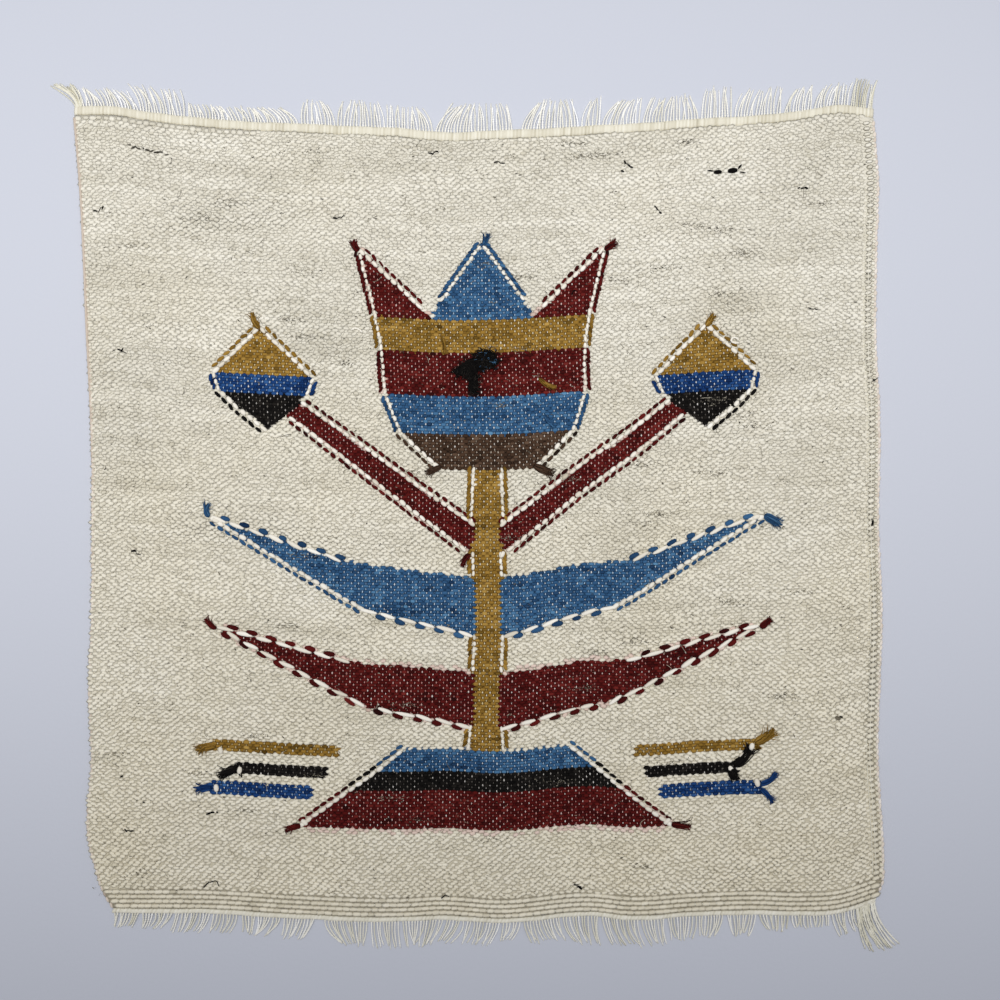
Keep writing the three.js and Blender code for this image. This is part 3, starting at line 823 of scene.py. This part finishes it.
# Each side's turns: share across, half width, tone and how far in.
turns = {"sides": ((0.0, 0.95, 0.55, 0.3), (1.0, 1.1, 0.72, -0.3)), "halfLength": 1.9, "halfHeight": 1.2}
leftCord = {"from": 0.56, "to": 0.997, "thin": 0.12, "thick": 0.62, "tone": 0.4}
# Columns of larger floats inside the right selvage: half length and turn. Then two warp ends that show.
columnFloats = ((2.5, 14), (1.5, -16))
shownWarps = {"places": ((6.6, -0.27), (4.8, -0.23)), "radius": 0.24, "tone": 0.62}


def selvageTurns():
    rng = np.random.default_rng(53)
    parts = []
    share = (np.arange(0, weave["picks"] - 1, 2) + 1.0) / weave["picks"]
    for side, half, tone, inward in turns["sides"]:
        x, y = placeOf(np.full(share.size, side), share)
        x = x + rng.normal(0, 0.15, x.size) + inward
        place = np.stack([x, y, liftAt(x, y) + cloth["thickness"] * 0.5], -1)
        slope = np.gradient(x, y)
        direction = np.stack([slope + rng.normal(0.16, 0.1, x.size), np.ones_like(x), 0 * x], -1)
        size = np.array([turns["halfLength"], half, turns["halfHeight"]]) * rng.normal(1, 0.08, (x.size, 3))
        parts.append(stamps(smallBeadShape, place, direction, size, 2, tone + 0.1 * rng.normal(size=x.size)))
    along = np.linspace(leftCord["from"], leftCord["to"], 150)
    x, y = placeOf(np.zeros(along.size), along)
    cordPath = np.stack([x - 0.1, y, liftAt(x, y) + 2.1], -1)[None]
    radius = leftCord["thin"] + leftCord["thick"] * np.clip((along - leftCord["from"]) * 6, 0, 1)
    parts.append(yarns(cordPath, radius, 6, 2, leftCord["tone"]))
    for inset, (half, turn) in zip(selvageColumns["insets"], columnFloats):
        shift = 0.0 if turn > 0 else 0.8
        x, y = placeOf(np.ones(share.size), share + shift / weave["picks"])
        kept = y > boldPicksTop(x)
        x, y = x[kept] - inset + rng.normal(0, 0.12, kept.sum()), y[kept]
        place = onFace(x, y, -floatSink)
        direction = levelAt(np.radians(turn + rng.normal(0, 6, x.size)))
        size = np.array([half, 1.3, 0.9]) * rng.normal(1, 0.08, (x.size, 3)) * (1.1 - y / 1500)[:, None]
        parts.append(stamps(floatShape, place, direction, size, 0, 0.6 + 0.06 * rng.normal(size=x.size)))
    along = np.linspace(0.03, 0.9, 160)
    for inset, rise in shownWarps["places"]:
        x, y = placeOf(np.ones(along.size), along)
        x = x - inset + 0.12 * np.sin(y / 3)
        cord = onFace(x, y, rise + 0.1 * np.sin(y / 1.7))[None]
        parts.append(yarns(cord, shownWarps["radius"], 5, 1, shownWarps["tone"]))
    return parts


selvageMaterials = [undyedWool, cotton, paleSelvage]
makePiece("selvage_turns", selvageTurns(), selvageMaterials)


# Headings

topBand = {"left": -232.6, "right": 231.4, "height": 2.3, "ribDepth": 0.2, "slant": 0.15, "tone": 0.56}
bottomBand = {"left": -210.5, "right": 232.6, "height": 2.5, "ribDepth": 0.3, "slant": 0.7, "tone": 0.7}
# The section of a band, as shares of its half width and its height.
bandProfile = np.array([
    (-1.0, 0.08), (-1.02, 0.5), (-0.82, 0.86), (-0.3, 1.0),
    (0.3, 1.0), (0.82, 0.86), (1.02, 0.5), (1.0, 0.08),
])


# A packed cotton band: a low bar with one rib for each warp end.
def headingBand(lineAt, width, left, right, height, ribDepth, slant, tone):
    rng = np.random.default_rng(3)
    count = int((right - left) / weave["warpPitch"]) * 2 + 1
    x = np.linspace(left, right, count)
    crest = np.where(np.arange(count) % 2 == 0, 0.0, 1.0)
    outward, upward = bandProfile.T
    y = lineAt(x) + 0.16 * np.sin(x / 9) + 0.1 * np.sin(x / 3.7 + 1) + rng.normal(0, 0.06, count)
    sides = len(bandProfile)
    ring = np.empty((count, sides, 3))
    high = height * (1 - ribDepth * (1 - crest) * rng.uniform(0.5, 1.2, count)) * rng.normal(1, 0.03, count)
    ring[..., 0] = x[:, None] + slant * outward
    ring[..., 1] = y[:, None] + width / 2 * outward * (0.96 + 0.04 * crest[:, None])
    ring[..., 2] = upward * high[:, None]
    index = np.arange(count * sides).reshape(count, sides)
    low, far = index[:-1], index[1:]
    quads = np.stack([low, np.roll(low, -1, 1), np.roll(far, -1, 1), far], -1).reshape(-1, 4)
    ends = np.stack([index[0, ::-1], index[-1]])
    # Each groove between the ribs is painted darker: painted shade.
    tones = np.repeat(tone - 0.16 * (1 - crest) + 0.08 * rng.normal(size=count), sides)
    return ring.reshape(-1, 3), [quads, ends], [np.zeros(len(quads), int), np.zeros(2, int)], tones


strand = {
    "pitch": 1.75, "steps": 13, "bend": 1.9, "plyRadius": 0.34, "plySpread": 0.21, "plyPitch": 3.0,
    "rootDepth": 0.9, "floorHeight": 0.45, "rootRise": 0.85, "arch": 1.6, "tipRise": 0.5, "thinning": 0.35,
}


# Two-ply warp ends in locks: root from, root to, tip from, tip to, reach, and their number where it's given.
def fringe(locks, lineAt, width, outward, seed):
    rng = np.random.default_rng(seed)
    share = np.linspace(0, 1, strand["steps"])
    paths, tones = [], []
    for start, end, tipStart, tipEnd, reach, given in locks:
        count = given or round((end - start) / strand["pitch"]) + 1
        for i in range(count):
            at = i / (count - 1)
            root = start + (end - start) * at + rng.normal(0, 0.12)
            tip = tipStart + (tipEnd - tipStart) * np.clip(at + rng.normal(0, 0.05), -0.06, 1.06)
            long = (reach - width / 2 + strand["rootDepth"]) * rng.uniform(0.84, 1.03)
            x = root + (tip - root) * share ** (strand["bend"] + rng.normal(0, 0.12))
            x = x + rng.normal(0, 0.35) * np.sin(np.pi * share) + rng.normal(0, 0.6) * share ** 4
            y = lineAt(root) + outward * (width / 2 - strand["rootDepth"] + long * share)
            z = strand["floorHeight"] + strand["rootRise"] * (1 - share) ** 2
            z = z + rng.uniform(0.1, strand["arch"]) * np.sin(np.pi * share) * (1 - share)
            z = z + rng.uniform(0, strand["tipRise"]) * share
            paths.append(np.stack([x, y, z], -1))
            # The given locks are painted darker, as shade among their crowded strands, and the lower fringe a
            # little darker than the upper: painted shade.
            tones.append(rng.normal(0.4 if given else 0.62 + 0.04 * outward, 0.1))
    paths = np.array(paths)
    plies = twoPly(paths, strand["plySpread"], strand["plyPitch"])
    taper = strand["plyRadius"] * (1 - strand["thinning"] * share ** 6)
    return yarns(plies, taper, 5, 0, np.clip(np.r_[tones, tones], 0, 1))


topWidth, bottomWidth = cloth["topHeading"], cloth["bottomHeading"]
headings = {
    "top_heading_band": (headingBand(topLineAt, topWidth, **topBand), "top_heading"),
    "bottom_heading_band": (headingBand(bottomLineAt, bottomWidth, **bottomBand), "bottom_heading"),
    "top_fringe": (fringe(topLocks, topLineAt, topWidth, 1, 61), "top_heading"),
    "bottom_fringe": (fringe(bottomLocks, bottomLineAt, bottomWidth, -1, 67), "bottom_heading"),
}
for name, (part, node) in headings.items():
    finish = whiteCotton if name.endswith("fringe") else cotton
    makePiece(name, [part], [finish])
    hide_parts(node)


# Loose yarn

# Tails left long where a colour ends, frayed: colour, place in the design, direction, length, width.
tailRows = [
    ("maroon", 158, -59, 34, 8.5, 3.6), ("maroon", -158, -59, 150, 9, 3.4),
    ("steelBlue", 162, 6, -34, 12, 4.8), ("steelBlue", -162, 6, 138, 9, 3.4),
    ("mustard", 130, 117, 60, 9, 3.4), ("mustard", -130, 117, 128, 11, 3.4),
    ("maroon", 71, 165, 36, 9, 3.4), ("maroon", -71, 165, 140, 8, 3.2), ("steelBlue", 1, 171, 62, 8, 3.2),
    ("black", 145, -139, 30, 16, 6.4), ("black", 142, -141, -44, 8, 5.0),
    ("black", -146, -140, 196, 12, 5.0), ("royalBlue", 160, -150, 10, 12, 3.2),
    ("royalBlue", 160, -153, -30, 11, 3.0), ("royalBlue", -160, -152, 172, 10, 4.0),
    ("mustard", 157, -126, 22, 14, 5.2), ("mustard", -158, -128, 170, 12, 4.6),
    ("maroon", 107, -171, -6, 12, 3.4), ("maroon", -107, -171, 188, 10, 3.4),
    ("mustard", 32, 92, -58, 12, 2.2), ("mustard", -24, 118, -70, 11, 2.0),
    ("walnut", 27, 41, -24, 13, 4.6), ("walnut", -27, 41, 205, 10, 3.6), ("steelBlue", 34, 70, -64, 9, 2.2),
    ("maroon", -10, -10, 215, 9, 3.2),
]
# White knots of the outline yarn beside them: place in the design, direction, half length, half width.
knotRows = [
    (155, -128, 70, 2.2, 1.6), (150, -133, 20, 2.4, 1.6), (143, -141, -60, 2.3, 1.5),
    (158, -149, -75, 2.6, 1.7), (-155, -130, 100, 2.2, 1.5), (-144, -141, 80, 2.2, 1.5),
    (-157, -152, 95, 2.3, 1.6), (157, 5, 20, 2.6, 1.5), (-158, 4, 160, 2.4, 1.5), (105, -169, 40, 2.4, 1.5),
    (-105, -169, 140, 2.3, 1.5), (9, -10, 60, 2.2, 1.4),
]
# The matted pad of ends in the flower: lumps as x, y, half width, half length, lean in degrees, and fibres.
tangle = {
    "place": (-4, 98), "steps": 9, "height": 1.7, "curl": 0.7, "greyFibres": 30,
    "lumps": [(0, 3, 11, 5, 14, 230), (6, 6, 6, 6, 0, 110), (-9, 0, 5, 3, 20, 60), (-2, -8, 3, 7.5, -4, 110)],
}
frayed = {"steps": 8, "sides": 4, "perWidth": 9, "height": 2.4, "radius": (0.22, 0.4), "thinning": 0.75}


def tails():
    rng = np.random.default_rng(71)
    parts = []
    steps = np.arange(frayed["steps"])
    last = steps[-1]
    share = np.linspace(0, 1, len(steps))
    swell = 0.25 + 0.75 * np.sin(np.pi * np.minimum(share * 1.15, 1) ** 0.8) ** 0.8
    for colour, u, v, turn, length, width in tailRows:
        x0, y0 = spotOf(u, v)
        heading = math.radians(turn) + rng.normal(0, 0.55) * share
        step = length / last
        midX = x0 + np.r_[0, np.cumsum(np.cos(heading[1:]) * step)]
        midY = y0 + np.r_[0, np.cumsum(np.sin(heading[1:]) * step)]
        fibres, radii, tones = [], [], []
        for _ in range(int(10 + frayed["perWidth"] * width)):
            aside, rise = rng.uniform(-1, 1), rng.uniform(0, 1)
            reach = rng.uniform(0.62, 1.14)
            fray = rng.normal(0, 0.5 * width) * share ** 3
            off = aside * math.sqrt(1 - 0.7 * rise * rise) * width / 2 * swell + fray
            run = share * reach * last
            x = np.interp(run, steps, midX) - np.sin(heading) * off
            y = np.interp(run, steps, midY) + np.cos(heading) * off
            fibres.append(onFace(x, y, (0.2 + rise * min(0.65 * width, frayed["height"])) * swell - 0.15))
            radii.append(rng.uniform(*frayed["radius"]) * (1 - frayed["thinning"] * share ** 3))
            tones.append(rng.normal(0.38, 0.2))
        tones = np.clip(tones, 0, 1)
        slot = dyeNames.index(colour)
        parts.append(yarns(np.array(fibres), np.array(radii), frayed["sides"], slot, tones))
    return parts


def tangledEnds():
    rng = np.random.default_rng(73)
    share = np.linspace(0, 1, tangle["steps"])
    x0, y0 = spotOf(*tangle["place"])
    black, blue = dyeNames.index("black"), dyeNames.index("steelBlue")
    grey = [(*tangle["lumps"][1][:5], tangle["greyFibres"])]
    parts = []
    for midX, midY, halfX, halfY, lean, _ in tangle["lumps"]:
        place = onFace(np.array([x0 + midX]), np.array([y0 + midY]), 0)
        direction = levelAt(np.radians([lean]))
        size = np.array([halfX * 0.95, halfY * 0.9, 1.5])
        parts.append(stamps(beadShape, place, direction, size, black, 0.1))
    for lumps, radius, slot, tone in ((tangle["lumps"], 0.26, black, 0.3), (grey, 0.09, blue, 0.75)):
        for midX, midY, halfX, halfY, lean, count in lumps:
            turn = math.radians(lean)
            spot = rng.uniform(-1, 1, (2, count))
            reach = np.hypot(*spot)
            spot = spot / np.maximum(reach, 1)
            px = midX + spot[0] * halfX * math.cos(turn) - spot[1] * halfY * math.sin(turn)
            py = midY + spot[0] * halfX * math.sin(turn) + spot[1] * halfY * math.cos(turn)
            rim = np.arctan2(spot[1] * halfY, spot[0] * halfX) + turn + np.pi / 2
            angle = (rim + rng.normal(0, 0.8, count))[:, None]
            angle = angle + np.cumsum(rng.normal(0, 0.5, (count, share.size)), 1)
            step = rng.uniform(0.25, 0.6, (count, 1))
            x = x0 + px[:, None] + np.cumsum(np.cos(angle) * step, 1)
            y = y0 + py[:, None] + np.cumsum(np.sin(angle) * step, 1)
            dome = tangle["height"] * np.sqrt(np.clip(1 - np.hypot(*spot) ** 2, 0, 1))[:, None]
            curl = tangle["curl"] * np.sin(0.1 + 2.9 * share) * rng.uniform(0.2, 1.0, (count, 1))
            path = onFace(x, y, 0.05 + dome + curl)
            taper = radius * (1 - 0.5 * share ** 3)
            parts.append(yarns(path, taper, 5, slot, np.clip(rng.normal(tone, 0.25, count), 0, 1)))
    return parts


def knots():
    rng = np.random.default_rng(79)
    rows = np.array(knotRows, float)
    x, y = spotOf(rows[:, 0], rows[:, 1])
    direction = levelAt(np.radians(rows[:, 2]))
    size = np.stack([rows[:, 3], rows[:, 4], 0.85 * rows[:, 4]], -1)
    tone = rng.uniform(0.45, 0.7, len(rows))
    return stamps(beadShape, onFace(x, y, 0.5), direction, size, len(dyeNames), tone)


# A short white loop and a white tail of the outline yarn, at these places in the design.
whiteLoop, whiteTail = (146, 108), (-70, 118)


def whiteEnds():
    share = np.linspace(0, 1, 15)
    x0, y0 = spotOf(*whiteLoop)
    x = x0 + 2.4 * np.cos(5.4 * share) + 1.2 * share
    y = y0 + 1.6 * np.sin(5.4 * share)
    loop = onFace(x, y, 0.3 + 0.8 * np.sin(np.pi * share))
    x1, y1 = spotOf(*whiteTail)
    x, y = x1 - 6.5 * share, y1 + 2.2 * np.sin(2.6 * share)
    tail = onFace(x, y, 0.2 + 0.6 * np.sin(np.pi * share))
    plies = twoPly(np.stack([loop, tail]), 0.28, 3.0)
    return yarns(plies, 0.36, 6, len(dyeNames), 0.75)


parts = tails() + tangledEnds() + [knots(), whiteEnds()]
makePiece("loose_ends", parts, [*dyedWool, whiteYarn])


# Specks

# Dark clots and hairs of hand-spun fleece. The larger clots: x, y, length, lumps.
clotRows = [
    (-190, 212.4, 36, 9), (89, 204, 8, 4), (14, 205, 6, 3), (-24, 211, 6, 3), (-79, 173, 6, 3),
    (-218, 178, 7, 3), (-205, 96, 6, 3), (190, 190, 7, 3), (106, 178, 6, 3), (231, 79, 6, 3),
    (215, -53, 5, 2), (-197, -21, 6, 3), (-152, -172, 7, 3), (-136, -150, 7, 4), (-201, -182, 6, 3),
    (211, -117, 5, 3), (-170, -60, 6, 2), (-150, 60, 5, 2), (60, -215, 6, 3), (-60, -205, 5, 2),
    (180, 20, 5, 2), (196, 120, 5, 3),
]


# Neps: x, y, direction, half length, half width, half height, and 1 for a black one.
nepRows = [
    (140.8, 199.4, 5, 2.5, 1.3, 1.0, 1), (149.4, 200.3, 8, 3.0, 1.6, 1.2, 1),
    (153.6, 202.6, 50, 1.7, 0.6, 0.6, 1), (136.6, 200.2, -6, 2.0, 0.45, 0.45, 1),
    (155.2, 199.3, -10, 1.9, 0.4, 0.35, 1), (230.5, -4, 80, 1.7, 0.8, 0.6, 1),
    (210.4, -117.2, -25, 1.8, 1.2, 0.8, 0), (-197.5, -20, 10, 0.9, 0.6, 0.5, 1),
    (85.5, 200, -20, 1.1, 0.6, 0.4, 1), (-205, -151, 20, 1.0, 0.5, 0.4, 1),
    (-145.5, -163, -10, 0.9, 0.5, 0.4, 0), (-192, -166, -20, 0.8, 0.4, 0.4, 1),
]
# Long black hairs, by their bends: x, y, x, y and so on.
longHairRows = [
    (-157.4, -215.4, -155.0, -212.6, -149.8, -211.2, -148.6, -214.6),
    (-19.5, -221.5, -17.2, -219.6, -15.0, -220.6), (56.0, 128.5, 57.4, 131.0, 59.5, 130.2),
]
# What is spread at random, and the share of the flecks that lie in streaks.
fleece = {"clots": 110, "hairs": 60, "streaks": 60, "streakShare": 0.42,
          "flecks": 4800, "fleckSize": (0.72, 0.2, 0.16)}


def anywhere(rng):
    return rng.uniform(-218, 228), rng.uniform(-220, 216)


def specks():
    rng = np.random.default_rng(83)
    parts = []
    rows = list(clotRows)
    for _ in range(fleece["clots"]):
        rows.append((*anywhere(rng), rng.uniform(1.5, 4.5), int(rng.integers(1, 3))))
    for x0, y0, length, count in rows:
        along = np.linspace(-0.3, 0.3, count) * length if count > 1 else np.zeros(1)
        lean = rng.normal(-0.15, 0.3)
        x = x0 + along * math.cos(lean) + rng.normal(0, 0.3, count)
        y = y0 + along * math.sin(lean) + rng.normal(0, 0.35, count)
        direction = levelAt(lean + rng.normal(0, 0.5, count))
        big = 0.9 if count > 2 else 0.5
        size = np.array([1.5, 0.5, 0.4]) * big * rng.normal(1, 0.25, (count, 3))
        slot, tone = int(2 < count < 7), rng.uniform(0.0, 0.18)
        parts.append(stamps(smallBeadShape, onFace(x, y, -0.08), direction, size, slot, tone))
    rows = np.array(nepRows, float)
    place = onFace(rows[:, 0], rows[:, 1], 0.25)
    direction = levelAt(np.radians(rows[:, 2]))
    parts.append(stamps(beadShape, place, direction, rows[:, 3:6], rows[:, 6].astype(int), 0.1))
    count = fleece["flecks"]
    x, y = rng.uniform(-222, 232, count), rng.uniform(-222, 218, count)
    streak = rng.integers(0, fleece["streaks"], count)
    inStreak = rng.random(count) < fleece["streakShare"]
    x = np.where(inStreak, x[streak] + rng.normal(0, 5, count), x)
    y = np.where(inStreak, y[streak] + rng.normal(0, 1.0, count), y)
    direction = levelAt(rng.normal(0.1, 0.55, count))
    size = np.array(fleece["fleckSize"]) * rng.uniform(0.5, 1.4, (count, 1)) * rng.normal(1, 0.2, (count, 3))
    parts.append(stamps(dotShape, onFace(x, y, -0.16), direction, size, 0, rng.uniform(0.0, 0.28, count)))
    hairs = []
    share = np.linspace(0, 1, 9)
    hairRows = [(*anywhere(rng), rng.uniform(3, 7), rng.uniform(0, 6.3)) for _ in range(fleece["hairs"])]
    for x0, y0, length, turn in hairRows:
        angle = turn + rng.normal(0, 1.2) * share + rng.normal(0, 0.3)
        x = x0 + np.cumsum(np.cos(angle)) * length / 9
        y = y0 + np.cumsum(np.sin(angle)) * length / 9
        hairs.append(onFace(x, y, 0.12 + 0.25 * np.sin(np.pi * share)))
    parts.append(yarns(np.array(hairs), 0.13, 4, 0, rng.uniform(0.02, 0.4, len(hairs))))
    for row in longHairRows:
        bends = np.array(row, float).reshape(-1, 2)
        x, y = (np.interp(share * (len(bends) - 1), np.arange(len(bends)), column) for column in bends.T)
        hair = onFace(x, y, 0.35 + 0.3 * np.sin(np.pi * share))[None]
        parts.append(yarns(hair, 0.38 * (1 - 0.4 * share), 5, 1, 0.1))
    return parts


blackWool = dyedWool[dyeNames.index("black")]
makePiece("wool_specks", specks(), [undyedWool, blackWool])


# Floor and light

studio = {
    "floorHalf": 3.0, "floorColour": "#c6c9d2", "ambient": 0.345, "ambientColour": "#f4f6ff",
    "lampPlace": (-0.15, 0.2, 1.1), "lampWidth": 1.8, "lampDepth": 0.6, "lampSpread": 77, "lampPower": 4.5,
}


def floorMaterial():
    material, tree = newMaterial("paleMattFloor")
    place = addNode(tree, "ShaderNodeTexCoord").outputs["Object"]
    nap = addNode(tree, "ShaderNodeTexNoise", {"Scale": 350.0, "Detail": 2.0}, {"Vector": place})
    bump = addNode(tree, "ShaderNodeBump", {"Strength": 0.12, "Distance": 0.001},
                   {"Height": nap.outputs["Fac"]})
    shader = addNode(tree, "ShaderNodeBsdfPrincipled",
                     {"Base Color": linearColour(studio["floorColour"]), "Roughness": 0.95,
                      "Specular IOR Level": 0.1},
                     {"Normal": bump.outputs["Normal"]})
    addNode(tree, "ShaderNodeOutputMaterial", None, {"Surface": shader.outputs["BSDF"]})
    return material


half = studio["floorHalf"]
floorMesh = bpy.data.meshes.new("floor")
corners = [(-half, -half, 0), (half, -half, 0), (half, half, 0), (-half, half, 0)]
floorMesh.from_pydata(corners, [], [(0, 1, 2, 3)])
floorMesh.materials.append(floorMaterial())
floor = addObject("floor", floorMesh)

lampData = bpy.data.lights.new("window", "AREA")
lampData.shape = "RECTANGLE"
lampData.size = studio["lampWidth"]
lampData.size_y = studio["lampDepth"]
lampData.spread = math.radians(studio["lampSpread"])
lampData.energy = studio["lampPower"]
lamp = addObject("window", lampData)
lamp.location = studio["lampPlace"]

world = bpy.data.worlds.new("softRoom")
world.use_nodes = True
background = world.node_tree.nodes["Background"]
background.inputs["Color"].default_value = linearColour(studio["ambientColour"])
background.inputs["Strength"].default_value = studio["ambient"]
bpy.context.scene.world = world
bpy.context.scene.view_settings.view_transform = "Standard"
print("floor and light made")
